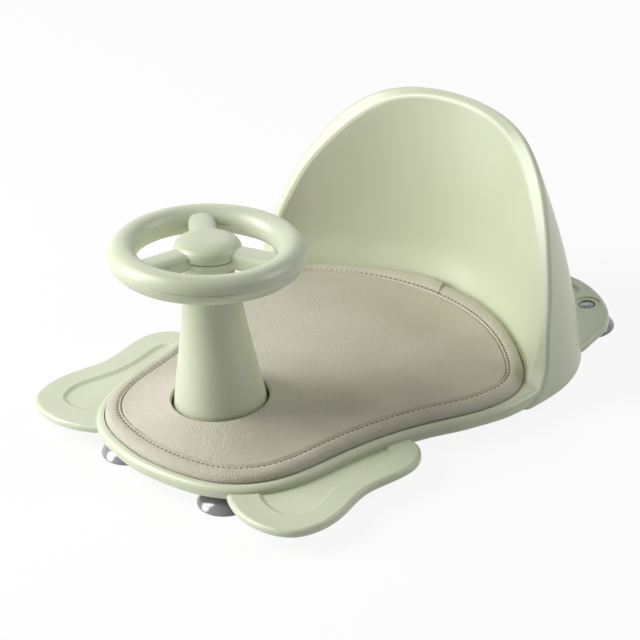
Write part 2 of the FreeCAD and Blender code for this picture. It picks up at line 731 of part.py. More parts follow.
def wheel_lower_shell():
    """Lower half of the rim, spokes' bellies and the hub's underside with the bush seat."""
    half = spoke_width/2
    low_radius = hub_radius - hub_step
    outer = half_tube(tube_radius, False)
    spokes = [spoke(angle, half, -spoke_belly, rim_circle) for angle in spoke_angles]
    hub = turned([(0, -hub_drop), (hub_under_radius, -hub_drop), (low_radius, -hub_drop/3),
                  (low_radius, 0), (0, 0)])
    outer = outer.fuse(spokes + [hub])
    inner = half_tube(tube_radius - wheel_wall, False)
    channels = [spoke(angle, half - wheel_wall, wheel_wall - spoke_belly, rim_circle)
                for angle in spoke_angles]
    hollow = turned([(bush_radius + wheel_wall, -hub_drop + wheel_wall),
                     (hub_under_radius - wheel_wall, -hub_drop + wheel_wall),
                     (low_radius - wheel_wall, -hub_drop/3), (low_radius - wheel_wall, overrun),
                     (bush_radius + wheel_wall, overrun)])
    core = cylinder(bush_radius + wheel_wall, hub_drop, Vector(0, 0, -hub_drop))
    shell = outer.cut(inner.fuse(channels + [hollow]))
    shell = shell.fuse(core)
    bosses = [cylinder(shell_screw_head_radius + wheel_wall, spoke_belly, point).common(outer)
              for point in spoke_points(-spoke_belly)]
    shell = shell.fuse(bosses)
    cuts = [cylinder(bush_radius, 2*hub_drop, Vector(0, 0, -hub_drop - overrun))]
    for point in spoke_points(-spoke_belly - overrun):
        cuts.append(cylinder(shell_screw_head_radius + bush_fit,
                             spoke_belly + overrun - shell_screw_seat, point))
        cuts.append(cylinder(shell_screw_radius + screw_hole_fit, 2*spoke_belly, point))
    return shell.cut(cuts + parting())


def wheel_bush():
    """Plain bush pressed into the hub, its flange on top."""
    return turned([(spindle_radius + bush_fit, -hub_drop + overrun), (bush_radius, -hub_drop + overrun),
                   (bush_radius, 0), (bush_flange_radius, 0), (bush_flange_radius, bush_flange),
                   (spindle_radius + bush_fit, bush_flange)])


def wheel_spindle():
    """Flanged post that stands up through the column's head and carries the wheel."""
    top = bush_flange + end_play
    shoulder = -hub_drop - wheel_gap - column_head
    post = turned([(0, shoulder - spindle_flange), (spindle_flange_radius, shoulder - spindle_flange),
                   (spindle_flange_radius, shoulder), (spindle_radius, shoulder), (spindle_radius, top),
                   (0, top)])
    return post.cut(cylinder(axle_screw_radius + screw_hole_fit, 2*axle_screw_length,
                             Vector(0, 0, top - axle_screw_length)))


def retaining_washer():
    """Washer that keeps the bush on the spindle."""
    low = bush_flange + end_play
    return cylinder(washer_radius, washer_thickness, Vector(0, 0, low)).cut(
        cylinder(axle_screw_radius + screw_hole_fit, 2*washer_thickness + overrun,
                 Vector(0, 0, low - overrun)))


def retaining_screw():
    """Screw down the wheel's axis."""
    screw = crossed_screw(axle_screw_radius, axle_screw_length, axle_screw_head_radius, axle_screw_head)
    screw.rotate(Vector(0, 0, 0), Vector(1, 0, 0), 180)
    screw.translate(Vector(0, 0, bush_flange + end_play + washer_thickness))
    return screw


def group(shape, places):
    """Copies of one piece at several places, as separate solids."""
    copies = []
    for place in places:
        copy = shape.copy()
        copy.translate(place)
        copies.append(copy)
    return Part.Compound(copies)


def build():
    """Every piece by its name."""
    parts = {"seat_shell": finish_shell(seat_shell())}
    parts.update(pad_parts())
    parts["pad_snap_studs"] = group(pad_stud(), stud_points(floor_z))
    for name, place in cup_places().items():
        parts["suction_cup_" + name] = suction_cup(place)
    parts["steering_column"] = steering_column()
    foot_screw = crossed_screw(foot_screw_radius, foot_screw_length, foot_screw_head_radius,
                               foot_screw_head)
    parts["column_screws"] = group(foot_screw, foot_screw_points(mound_z - wall))
    shell_screw = crossed_screw(shell_screw_radius, shell_screw_length, shell_screw_head_radius,
                                shell_screw_head)
    wheel = {"wheel_upper_shell": wheel_upper_shell(), "wheel_lower_shell": wheel_lower_shell(),
             "wheel_bush": wheel_bush(), "wheel_spindle": wheel_spindle(),
             "retaining_washer": retaining_washer(), "retaining_screw": retaining_screw(),
             "wheel_shell_screws": group(shell_screw, spoke_points(-shell_screw_seat))}
    for name, shape in wheel.items():
        parts[name] = on_wheel(shape)
    return parts


def to_origin(parts):
    """The move that puts the middle of the part's footprint at the origin."""
    box = Part.Compound(list(parts.values())).optimalBoundingBox(False)
    return Vector(-(box.XMin + box.XMax)/2, -(box.YMin + box.YMax)/2, 0)


parts = build()
move = to_origin(parts)
os.makedirs("parts", exist_ok=True)
for node, shape in parts.items():
    shape = shape.copy()
    shape.translate(move)
    print(node, shape.isValid(), len(shape.Solids), round(shape.Volume), len(shape.Faces))
    shape.exportStep("parts/" + node + ".step")
print("moved back by", round(move.y, 3))
print("wheel centre", round(-column_reach + move.y, 3), round(wheel_z, 3))
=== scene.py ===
import math

import bpy
import numpy as np
from mathutils import Matrix, Vector, noise


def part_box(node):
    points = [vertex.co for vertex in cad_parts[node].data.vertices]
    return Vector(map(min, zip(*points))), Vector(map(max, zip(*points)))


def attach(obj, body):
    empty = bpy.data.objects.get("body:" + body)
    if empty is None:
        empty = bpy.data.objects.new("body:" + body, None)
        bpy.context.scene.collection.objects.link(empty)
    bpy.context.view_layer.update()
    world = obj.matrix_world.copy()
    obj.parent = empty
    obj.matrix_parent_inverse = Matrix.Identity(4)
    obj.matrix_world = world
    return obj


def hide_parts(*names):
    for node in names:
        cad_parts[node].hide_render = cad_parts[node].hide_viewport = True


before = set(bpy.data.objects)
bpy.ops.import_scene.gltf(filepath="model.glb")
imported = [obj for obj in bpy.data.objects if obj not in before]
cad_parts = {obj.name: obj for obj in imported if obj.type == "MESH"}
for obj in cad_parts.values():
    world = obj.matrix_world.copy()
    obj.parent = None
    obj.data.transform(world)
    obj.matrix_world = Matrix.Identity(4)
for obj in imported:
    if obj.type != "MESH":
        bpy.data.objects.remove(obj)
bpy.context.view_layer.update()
scene = bpy.context.scene
mm = 0.001


# where things stand: the column's foot is read from the frame, the heights are the shell's

columnLow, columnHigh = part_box("steering_column")
columnAxis = Vector(((columnLow.x + columnHigh.x)/2, (columnLow.y + columnHigh.y)/2, 0))
seatRadius = 150*mm
columnReach = 97*mm  # from the seat's centre forward to the column
seatCentre = columnAxis + Vector((0, columnReach, 0))
floorZ = 20.5*mm  # tray's floor
seamZ = 31.0*mm  # pad's seam
moundZ = 35.0*mm  # top of the mound that carries the column
print("frame read: column at", [round(v, 4) for v in columnAxis])


# node trees written as Python expressions

class Link:  # one socket of a node tree
    def __init__(self, graph, socket):
        self.graph, self.socket = graph, socket

    def maths(self, operation, first, second):
        return self.graph.node("ShaderNodeMath", {"operation": operation}, {0: first, 1: second})

    def __add__(self, other):
        return self.maths("ADD", self, other)

    def __sub__(self, other):
        return self.maths("SUBTRACT", self, other)

    def __rsub__(self, other):
        return self.maths("SUBTRACT", other, self)

    def __mul__(self, other):
        return self.maths("MULTIPLY", self, other)

    __radd__ = __add__


class Graph:  # the tree of a material or a world, and the nodes that are made in it
    def __init__(self, owner):
        owner.use_nodes = True
        self.owner, self.tree = owner, owner.node_tree
        self.tree.nodes.clear()

    def node(self, kind, settings=None, sockets=None, output=0):
        made = self.tree.nodes.new(kind)
        for key, value in (settings or {}).items():
            setattr(made, key, value)
        for key, value in (sockets or {}).items():
            if isinstance(value, Link):
                self.tree.links.new(value.socket, made.inputs[key])
            else:
                made.inputs[key].default_value = value
        return Link(self, made.outputs[output]) if len(made.outputs) else None

    def place(self, scale=(1, 1, 1)):
        spot = self.node("ShaderNodeTexCoord", output="Object")
        return self.node("ShaderNodeMapping", None, {"Vector": spot, "Scale": scale})

    def noise(self, spot, scale, detail=3.0, roughness=0.5):
        return self.node("ShaderNodeTexNoise", None,
                         {"Vector": spot, "Scale": scale, "Detail": detail, "Roughness": roughness})

    def swing(self, source, share):  # a noise about its own middle
        return (source - 0.5)*share

    def remap(self, value, low, high, toLow=0.0, toHigh=1.0):
        return self.node("ShaderNodeMapRange", None, {"Value": value, "From Min": low, "From Max": high,
                                                      "To Min": toLow, "To Max": toHigh})

    def tint(self, factor, first, second):
        return self.node("ShaderNodeMix", {"data_type": "RGBA"},
                         {"Factor": factor, 6: first, 7: second}, output=2)

    def bump(self, height, distance, strength, below=None):
        sockets = {"Height": height, "Distance": distance, "Strength": strength}
        if below is not None:
            sockets["Normal"] = below
        return self.node("ShaderNodeBump", None, sockets)

    def seenDirectly(self):  # 1 for rays from the camera, mirrored or let through, 0 for scattered light
        seen, *others = [self.node("ShaderNodeLightPath", output=ray)
                         for ray in ("Is Camera Ray", "Is Glossy Ray", "Is Transmission Ray")]
        for ray in others:
            seen = seen.maths("MAXIMUM", seen, ray)
        return seen

    def surface(self, sockets):
        shader = self.node("ShaderNodeBsdfPrincipled", None, sockets)
        self.node("ShaderNodeOutputMaterial", None, {"Surface": shader})
        return self.owner


def rgb(*values):  # 0 to 255 as written on a screen, to linear
    return tuple(((v/255 + 0.055)/1.055)**2.4 if v > 10 else v/255/12.92 for v in values) + (1.0,)


# moulded plastic of the shell, column and wheel

plasticLook = {"base": rgb(207, 212, 187), "shift": rgb(201, 207, 177), "shiftSpan": (0.35, 0.65),
               "cloud": {"scale": 9.0, "detail": 2.0},
               "dust": {"scale": 70.0, "detail": 5.0, "roughness": 0.65}, "dustShare": 0.10,
               "fine": {"scale": 900.0, "detail": 2.0, "roughness": 0.6}, "fineShare": 0.05,
               "roughness": 0.41, "relief": (0.06*mm, 0.5), "index": 1.49, "coat": 0.38, "coatRoughness": 0.3}


def mouldedPlastic(name, look):
    g = Graph(bpy.data.materials.new(name))
    spot = g.place()
    dust, fine = g.noise(spot, **look["dust"]), g.noise(spot, **look["fine"])
    cloud = g.remap(g.noise(spot, **look["cloud"]), *look["shiftSpan"])
    rough = look["roughness"] + g.swing(dust, look["dustShare"]) + g.swing(fine, look["fineShare"])
    return g.surface({"Base Color": g.tint(cloud, look["base"], look["shift"]), "Roughness": rough,
                      "Normal": g.bump(fine, *look["relief"]), "IOR": look["index"],
                      "Coat Weight": look["coat"], "Coat Roughness": look["coatRoughness"]})


# imitation leather of the pad: pebbles between fine furrows darkened with painted shade, over soft creases

leatherLook = {"base": rgb(208, 203, 188), "deep": rgb(191, 186, 168), "deepSpan": (0.3, 0.7),
               "cloud": {"scale": 14.0, "detail": 3.0},
               "warp": {"scale": 240.0, "detail": 3.0}, "warpShare": 0.12, "warpReach": 1.6*mm,
               "grain": 500.0, "furrow": 0.30, "furrowShade": 0.5, "furrowRoughness": 0.12,
               "fine": {"scale": 1500.0, "detail": 2.0, "roughness": 0.6}, "fineShare": 0.25,
               "crease": {"scale": 60.0, "detail": 4.0, "roughness": 0.7}, "creaseStretch": (1.0, 2.2, 1.0),
               "creaseRelief": (0.6*mm, 0.35), "relief": (0.30*mm, 0.9),
               "worn": {"low": -110*mm, "high": 40*mm, "toLow": 1.0, "toHigh": 0.5},
               "roughness": 0.48, "index": 1.46}


def leather(name, look):
    g = Graph(bpy.data.materials.new(name))
    spot = g.place()
    push = g.node("ShaderNodeTexNoise", None, {"Vector": spot, "Scale": look["warp"]["scale"]}, output="Color")
    push = g.node("ShaderNodeVectorMath", {"operation": "SCALE"}, {0: push, "Scale": look["warpReach"]})
    bent = g.node("ShaderNodeVectorMath", {"operation": "ADD"}, {0: spot, 1: push})
    pebble = g.node("ShaderNodeTexVoronoi", {"feature": "DISTANCE_TO_EDGE"},
                    {"Vector": bent, "Scale": look["grain"]})
    cells = g.remap(pebble, 0.0, look["furrow"])
    cloud = g.remap(g.noise(spot, **look["cloud"]), *look["deepSpan"])
    colour = g.tint(cloud, look["base"], look["deep"])
    # the furrows between pebbles are darkened towards the deep colour: painted shade in the furrows
    colour = g.tint((1 - cells)*look["furrowShade"], colour, look["deep"])
    warp = g.noise(spot, **look["warp"])
    rough = look["roughness"] + g.swing(warp, look["warpShare"]) + (1 - cells)*look["furrowRoughness"]
    along = g.node("ShaderNodeSeparateXYZ", None, {0: spot}, output="Y")
    worn = g.remap(along, **look["worn"])  # the grain is flatter where the child sits
    fine = g.noise(spot, **look["fine"])
    creases = g.noise(g.place(scale=look["creaseStretch"]), **look["crease"])
    relief = g.bump((cells + fine*look["fineShare"])*worn, *look["relief"],
                    g.bump(creases, *look["creaseRelief"]))
    return g.surface({"Base Color": colour, "Roughness": rough, "Normal": relief, "IOR": look["index"]})


# small plain finishes, each from one noise: light and dark, roughness and how far the noise moves it

vinylLook = {"cloud": {"scale": 45.0}, "colours": (rgb(136, 134, 139), rgb(114, 111, 117)),
             "span": (0.3, 0.7), "roughness": 0.20, "spread": 0.08, "relief": (0.2*mm, 0.08),
             "sockets": {"IOR": 1.5, "Coat Weight": 1.0, "Coat Roughness": 0.09}}
steelLook = {"cloud": {"scale": 260.0}, "stretch": (1.0, 1.0, 30.0),
             "colours": (rgb(190, 190, 188), rgb(158, 158, 156)), "roughness": 0.22, "spread": 0.16,
             "reliefNoise": {"scale": 700.0}, "relief": (0.03*mm, 0.5), "sockets": {"Metallic": 1.0}}
nylonLook = {"cloud": {"scale": 120.0}, "colours": (rgb(226, 226, 220), rgb(206, 206, 198)),
             "roughness": 0.36, "spread": 0.1, "relief": (0.05*mm, 0.4)}
threadLook = {"cloud": {"scale": 2600.0, "detail": 2.0}, "colours": (rgb(226, 219, 201), rgb(196, 188, 168)),
              "roughness": 0.6, "spread": 0.15, "relief": (0.1*mm, 0.7)}
# dark pieces at the needle holes: painted shade in the holes between the stitches
holeShadeLook = {"cloud": {"scale": 900.0}, "colours": (rgb(34, 30, 24), rgb(52, 47, 38)),
            "roughness": 0.8, "spread": 0.1}


def plainFinish(name, look):
    g = Graph(bpy.data.materials.new(name))
    cloud = g.noise(g.place(scale=look.get("stretch", (1, 1, 1))), **look["cloud"])
    factor = g.remap(cloud, *look["span"]) if "span" in look else cloud
    sockets = {"Base Color": g.tint(factor, *look["colours"]),
               "Roughness": look["roughness"] + cloud*look["spread"], **look.get("sockets", {})}
    if "relief" in look:
        height = g.noise(g.place(), **look["reliefNoise"]) if "reliefNoise" in look else cloud
        sockets["Normal"] = g.bump(height, *look["relief"])
    return g.surface(sockets)


# lining and foam under the pad, as crossed waves

liningLook = {"light": rgb(150, 146, 134), "dark": rgb(112, 108, 98), "pitch": 900.0,
              "roughness": 0.85, "spread": 0.1, "relief": (0.2*mm, 0.7)}
foamLook = {**liningLook, "light": rgb(232, 230, 222), "dark": rgb(214, 211, 202), "pitch": 500.0}


def woven(name, look):
    g = Graph(bpy.data.materials.new(name))
    spot = g.place()
    waves = {"Vector": spot, "Scale": look["pitch"]}
    across, along = [g.node("ShaderNodeTexWave", {"bands_direction": way}, waves) for way in ("X", "Y")]
    weave = across*along
    return g.surface({"Base Color": g.tint(weave, look["dark"], look["light"]),
                      "Roughness": look["roughness"] - weave*look["spread"],
                      "Normal": g.bump(weave, *look["relief"])})


shellMaterial = mouldedPlastic("sagePolypropylene", plasticLook)
leatherMaterial = leather("greigeImitationLeather", leatherLook)
cupMaterial = plainFinish("clearGreyVinyl", vinylLook)
steelMaterial = plainFinish("stainlessSteel", steelLook)
nylonMaterial = plainFinish("naturalNylon", nylonLook)
liningMaterial = woven("padLining", liningLook)
foamMaterial = woven("closedCellFoam", foamLook)
threadMaterial = plainFinish("polyesterThread", threadLook)
holeShadeMaterial = plainFinish("needleHoleShade", holeShadeLook)

nodeMaterials = {
    "seat_shell": shellMaterial, "steering_column": shellMaterial, "wheel_upper_shell": shellMaterial,
    "wheel_lower_shell": shellMaterial, "wheel_bush": nylonMaterial, "wheel_spindle": steelMaterial,
    "retaining_washer": steelMaterial, "retaining_screw": steelMaterial, "wheel_shell_screws": steelMaterial,
    "column_screws": steelMaterial, "pad_cover": leatherMaterial, "pad_binding": leatherMaterial,
    "pad_foam": foamMaterial, "pad_backing": liningMaterial, "pad_snap_studs": nylonMaterial,
    "suction_cup_front_left": cupMaterial, "suction_cup_front_right": cupMaterial,
    "suction_cup_rear_left": cupMaterial, "suction_cup_rear_right": cupMaterial}
for nodeName, finish in nodeMaterials.items():
    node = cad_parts[nodeName]
    node.data.materials.clear()
    node.data.materials.append(finish)
print("materials made:", len(bpy.data.materials))


# studio: pale floor, white surround, four soft lamps

studio = {"floor": 1.6, "floorShade": rgb(250, 250, 249), "shadow": 0.10,
          "backdrop": 1.0, "ambient": 0.02, "ambientTint": (0.93, 0.96, 1.0, 1), "lampSize": 1.0,
          "aim": (0, 0, 0.05),
          "lamps": {"keyLow": {"at": (-1.157, -1.234, 0.666), "power": 19.4},
                    "keyHigh": {"at": (-0.871, -0.929, 1.323), "power": 21.6},
                    "rear": {"at": (-1.076, 1.008, 1.082), "power": 1.5},
                    "side": {"at": (1.008, 1.076, 1.082), "power": 10.4}}}
white = (1, 1, 1, 1)


def floorMaterial(name):  # white to the eye, but for its share of shadow
    g = Graph(bpy.data.materials.new(name))
    matt = g.node("ShaderNodeBsdfDiffuse", None, {"Color": studio["floorShade"]})
    glow = g.node("ShaderNodeEmission", None, {"Color": white, "Strength": 1.0})
    both = g.node("ShaderNodeMixShader", None,
                  {0: g.seenDirectly()*(1 - studio["shadow"]), 1: matt, 2: glow})
    g.node("ShaderNodeOutputMaterial", None, {"Surface": both})
    return g.owner


def buildFloor():
    half = studio["floor"]
    mesh = bpy.data.meshes.new("studioFloor")
    mesh.from_pydata([(-half, -half, 0), (half, -half, 0), (half, half, 0), (-half, half, 0)],
                     [], [(0, 1, 2, 3)])
    mesh.materials.append(floorMaterial("paleFloor"))
    floor = bpy.data.objects.new("studioFloor", mesh)
    scene.collection.objects.link(floor)


def buildWorld():  # white where it is seen, and nearly dark as a light
    scene.world = bpy.data.worlds.new("softWorld")
    g = Graph(scene.world)
    dim = g.node("ShaderNodeBackground", None, {"Color": studio["ambientTint"], "Strength": studio["ambient"]})
    bright = g.node("ShaderNodeBackground", None, {"Color": white, "Strength": studio["backdrop"]})
    mix = g.node("ShaderNodeMixShader", None, {0: g.seenDirectly(), 1: dim, 2: bright})
    g.node("ShaderNodeOutputWorld", None, {"Surface": mix})


def buildLamps():
    for name, spec in studio["lamps"].items():
        lamp = bpy.data.lights.new(name + "Lamp", "AREA")
        lamp.shape, lamp.size, lamp.energy = "DISK", studio["lampSize"], spec["power"]
        thing = bpy.data.objects.new(name + "Lamp", lamp)
        thing.location = spec["at"]
        aim = Vector(studio["aim"]) - Vector(spec["at"])
        thing.rotation_euler = aim.to_track_quat("-Z", "Y").to_euler()
        scene.collection.objects.link(thing)


# camera of the photograph: turned 46.9 degrees from the front, 29.7 above, rolled a little

view = {"turn": 46.856, "rise": 29.748, "roll": -3.767,
        "focalShare": 2763.981/640,  # focal length over the picture's width, both in pixels
        "from": (1288.88, -1105.229, 1070.619),  # mm from the column's foot
        "sensor": 36.0, "clip": (0.05, 20)}


def buildCamera():
    turn, rise, roll = (math.radians(view[key]) for key in ("turn", "rise", "roll"))
    back = Vector((math.sin(turn)*math.cos(rise), -math.cos(turn)*math.cos(rise), math.sin(rise)))
    flat = Vector((math.cos(turn), math.sin(turn), 0))
    upright = back.cross(flat)
    right = flat*math.cos(roll) + upright*math.sin(roll)
    up = upright*math.cos(roll) - flat*math.sin(roll)
    lens = bpy.data.cameras.new("photoCamera")
    lens.sensor_fit = "HORIZONTAL"
    lens.sensor_width = view["sensor"]
    lens.lens = view["sensor"]*view["focalShare"]
    lens.clip_start, lens.clip_end = view["clip"]
    camera = bpy.data.objects.new("photoCamera", lens)
    axes = Matrix((right, up, back)).transposed()
    camera.matrix_world = Matrix.Translation(columnAxis + Vector(view["from"])*mm) @ axes.to_4x4()
    scene.collection.objects.link(camera)
    scene.camera = camera


buildFloor()
buildWorld()
buildLamps()
buildCamera()
scene.view_settings.view_transform = "Standard"
print("studio and camera placed")


# outlines, as the maker draws them

fineCount = 6001  # points that a spline's length is measured on


def roundSpline(points, count):  # a smooth closed curve through the points, evenly spaced
    points = np.array(points, float)
    total = len(points)
    chord = np.linalg.norm(np.roll(points, -1, 0) - points, axis=1)
    knots = np.concatenate([[0], np.cumsum(chord)])
    before = np.roll(chord, 1)
    system = np.zeros((total, total))
    right = np.zeros((total, points.shape[1]))
    for k in range(total):
        system[k, (k - 1) % total] += chord[k]
        system[k, k] += 2*(chord[k] + before[k])
        system[k, (k + 1) % total] += before[k]
        right[k] = 3*(chord[k]*(points[k] - points[k - 1])/before[k]
                      + before[k]*(points[(k + 1) % total] - points[k])/chord[k])
    slope = np.linalg.solve(system, right)

    def at(where):
        k = np.clip(np.searchsorted(knots, where, side="right") - 1, 0, total - 1)
        t = ((where - knots[k])/chord[k])[:, None]
        h = chord[k][:, None]
        first, second = points[k], points[(k + 1) % total]
        return ((1 + 2*t)*(1 - t)**2*first + t*(1 - t)**2*h*slope[k]
                + t*t*(3 - 2*t)*second + t*t*(t - 1)*h*slope[(k + 1) % total])

    where = np.linspace(0, knots[-1], fineCount)
    fine = at(where[:-1])
    step = np.linalg.norm(np.roll(fine, -1, 0) - fine, axis=1)
    length = np.concatenate([[0], np.cumsum(step)])
    wanted = np.linspace(0, length[-1], count, endpoint=False)
    return at(np.interp(wanted, length, where))


def mirrored(half):  # the whole outline from the half at positive x, its ends on the middle plane
    return half + [(-x, y) for x, y in half[-2:0:-1]]


def outwards(line):  # unit vectors out of a line that runs anticlockwise
    along = np.roll(line, -1, 0) - np.roll(line, 1, 0)
    along /= np.linalg.norm(along, axis=1)[:, None]
    return np.stack([along[:, 1], -along[:, 0]], 1)


def smoothStep(share):  # 0 to 1 with flat ends
    return share*share*(3 - 2*share)


def meshObject(name, points, faces, finish):
    mesh = bpy.data.meshes.new(name)
    mesh.from_pydata([tuple(point) for point in points], [], faces)
    mesh.validate()
    mesh.update()
    mesh.shade_smooth()
    mesh.materials.append(finish)
    thing = bpy.data.objects.new(name, mesh)
    scene.collection.objects.link(thing)
    return thing


# sewn pad: crowned cushion, band round its edge, lock stitches

# the outline as an angle about the seat's centre and a reach as a share of seatRadius
padOutline = [(-90, 1.119), (-79, 1.117), (-68, 1.106), (-60, 1.062), (-52, 0.98), (-40, 0.838), (-24, 0.752),
              (-4, 0.776), (9, 0.88), (17, 0.96), (24, 1.012), (31, 1.030), (40, 1.012), (50, 0.99),
              (68, 0.98), (90, 0.99)]
pad = {"thickness": 10.5*mm, "lift": 0.3*mm, "crown": 1.8*mm, "crownReach": 28*mm,
       "seamWidth": 12.3*mm, "seamGap": 0.15*mm, "rearWidth": 7.3*mm, "rearSpread": 28,
       "rearDrop": 2.8*mm, "dropSpread": 42, "dropReach": 30*mm,
       "channelDepth": 1.7*mm, "channelWidth": 0.7*mm,
       "hole": 35.25*mm, "holeRoll": 1.3*mm, "holeTop": 44.6*mm, "rollSteps": 6, "rollTurn": 18,
       "hillLength": 62*mm, "hillBlend": 6*mm, "hillShort": 24*mm, "hillGrow": 36*mm, "hillPower": (1.05, 0.75),
       "moundTop": 37*mm, "moundPoints": 720, "edgePoints": 1400, "seamSkip": 3, "rings": 54, "stations": 420,
       "heldAtHole": 3, "heldAtSeam": 3,  # rows that the cloth doesn't move, past the wall and before the seam
       "seamRows": (7, 5, 3.6, 2.7, 2.0, 1.5, 1.1, 0.8, 0.5, 0.25, 0),  # mm from the seam
       "underRows": (1.0, 0.96, 0.85, 0.7, 0.55, 0.4, 0.25, 0.12, 0.0)}  # share of the way out from the hole
# the mound under the column, as shares of seatRadius from the column's axis
moundShares = [(0.0, -0.385), (0.30, -0.29), (0.45, -0.02), (0.40, 0.30), (0.22, 0.50), (0.0, 0.56)]
axis2 = np.array([columnAxis.x, columnAxis.y])


def edgeLine(count):  # the pad's outer edge, anticlockwise
    half = [(share*math.cos(math.radians(angle)), share*math.sin(math.radians(angle)))
            for angle, share in padOutline]
    half[0], half[-1] = (0.0, half[0][1]), (0.0, half[-1][1])
    return roundSpline(np.array(mirrored(half))*seatRadius, count) + np.array([seatCentre.x, seatCentre.y])


def atBack(points, spread):  # 1 at the middle of the back, fading towards the sides over spread degrees
    turn = np.degrees(np.arctan2(points[..., 1] - seatCentre.y, points[..., 0] - seatCentre.x))
    return np.exp(-((turn - 90)/spread)**2)


def seamInset(points):  # the seam draws away from the edge at the back
    return pad["seamWidth"] + pad["rearWidth"]*atBack(points, pad["rearSpread"])


def aroundAt(line, values, angles):  # values held along a closed line round the origin, read at the angles
    turn = np.arctan2(line[:, 1], line[:, 0])
    order = np.argsort(turn)
    return np.interp(angles, turn[order], values[order], period=2*math.pi)


def moundReach(angles):
    line = roundSpline(np.array(mirrored(moundShares))*seatRadius, pad["moundPoints"])
    return aroundAt(line, np.linalg.norm(line, axis=1), angles)


def padTop(points, seamLine, seamReach):  # height of the cushion's top over each point of the plan
    reach = np.linalg.norm(points - axis2, axis=1)
    blend = pad["hillBlend"]
    long = -blend*np.log(np.exp((pad["hole"] - seamReach)/blend) + math.exp(-pad["hillLength"]/blend))
    fall = 1 - np.clip((reach - pad["hole"] - pad["holeRoll"])/(long - pad["holeRoll"]), 0, 1)
    steep, steeper = pad["hillPower"]
    hill = fall**(steep + steeper*smoothStep(np.clip((long - pad["hillShort"])/pad["hillGrow"], 0, 1)))
    inset = np.min(np.linalg.norm(points[:, None, :] - seamLine[None, :, :], axis=2), axis=1)
    crown = pad["crown"]*(1 - np.exp(-inset/pad["crownReach"]))
    drop = pad["rearDrop"]*atBack(points, pad["dropSpread"])*np.exp(-inset/pad["dropReach"])
    flat = seamZ + crown - drop
    top = flat + (pad["holeTop"] - flat)*hill
    return top - pad["channelDepth"]*np.exp(-(inset/pad["channelWidth"])**2)


def closedGrid(rows, columns):  # faces of a grid that closes both ways
    faces = []
    for r in range(rows):
        here, below = r*columns, (r + 1) % rows*columns
        for c in range(columns):
            after = (c + 1) % columns
            faces.append((below + c, below + after, here + after, here + c))
    return faces


def cushionRings():  # rings of points: up the hole's wall, out over the top, back under the pad
    outline = edgeLine(pad["edgePoints"])
    edge = outline - outwards(outline)*(seamInset(outline) + pad["seamGap"])[:, None]
    angles = np.linspace(-math.pi, math.pi, pad["stations"], endpoint=False)
    spokes = np.stack([np.cos(angles), np.sin(angles)], 1)
    rim = np.stack([aroundAt(edge - axis2, edge[:, k], angles) for k in (0, 1)], 1)
    ring = axis2 + (pad["hole"] + pad["holeRoll"])*spokes
    seamReach = np.linalg.norm(rim - axis2, axis=1)
    long = (seamReach - np.linalg.norm(ring - axis2, axis=1))[:, None]
    near = np.array(pad["seamRows"])*mm
    even = [long - (long - near[0])*k/pad["rings"] for k in range(pad["rings"])]
    top = []
    for back in even + list(near):
        flat = ring + (rim - ring)*(1 - back/long)
        top.append(np.column_stack([flat, padTop(flat, edge[::pad["seamSkip"]], seamReach)]))
    wall = []
    for step in range(pad["rollSteps"]):  # rolled edge of the hole, then its wall
        turnDown = math.radians(pad["rollTurn"]*step)
        reach = pad["hole"] + pad["holeRoll"]*(1 - math.sin(turnDown))
        fallen = top[0][:, 2] - pad["holeRoll"]*(1 - math.cos(turnDown))
        wall.append(np.column_stack([axis2 + reach*spokes, fallen]))
    foot = axis2 + pad["hole"]*spokes
    wall.append(np.column_stack([foot, np.full(len(foot), moundZ + pad["lift"])]))
    under = []
    for t in pad["underRows"]:  # the underside lies on the tray and on the mound
        flat = foot + (rim - foot)*t
        away = flat - axis2
        mound = moundReach(np.arctan2(away[:, 1], away[:, 0]))
        share = np.clip((np.linalg.norm(away, axis=1) - pad["moundTop"])/(mound - pad["moundTop"]), 0, 1)
        rise = (moundZ - floorZ)*(1 + np.cos(np.pi*share))/2
        under.append(np.column_stack([flat, floorZ + pad["lift"] + rise]))
    return wall[:0:-1], top, under[:-1]


def makeCushion():
    wall, top, under = cushionRings()
    rings = wall + top + under
    stations = pad["stations"]
    cushion = meshObject("padCushion", np.concatenate(rings), closedGrid(len(rings), stations), leatherMaterial)
    cushion.data.materials.append(liningMaterial)
    lastTop = len(wall) + len(top) - 1
    for polygon in cushion.data.polygons:
        if polygon.index//stations > lastTop:
            polygon.material_index = 1
    held = cushion.vertex_groups.new(name="held")
    free = range(len(wall) + pad["heldAtHole"], lastTop - pad["heldAtSeam"])
    for row in range(len(rings)):
        if row not in free:
            held.add(list(range(row*stations, (row + 1)*stations)), 1.0, "REPLACE")
    return cushion


filling = {"pressure": 1.6, "frames": 18, "cap": 1.6*mm, "quality": 4, "mass": 0.3,
           "stretch": 28, "shear": 14, "bend": 3.0}


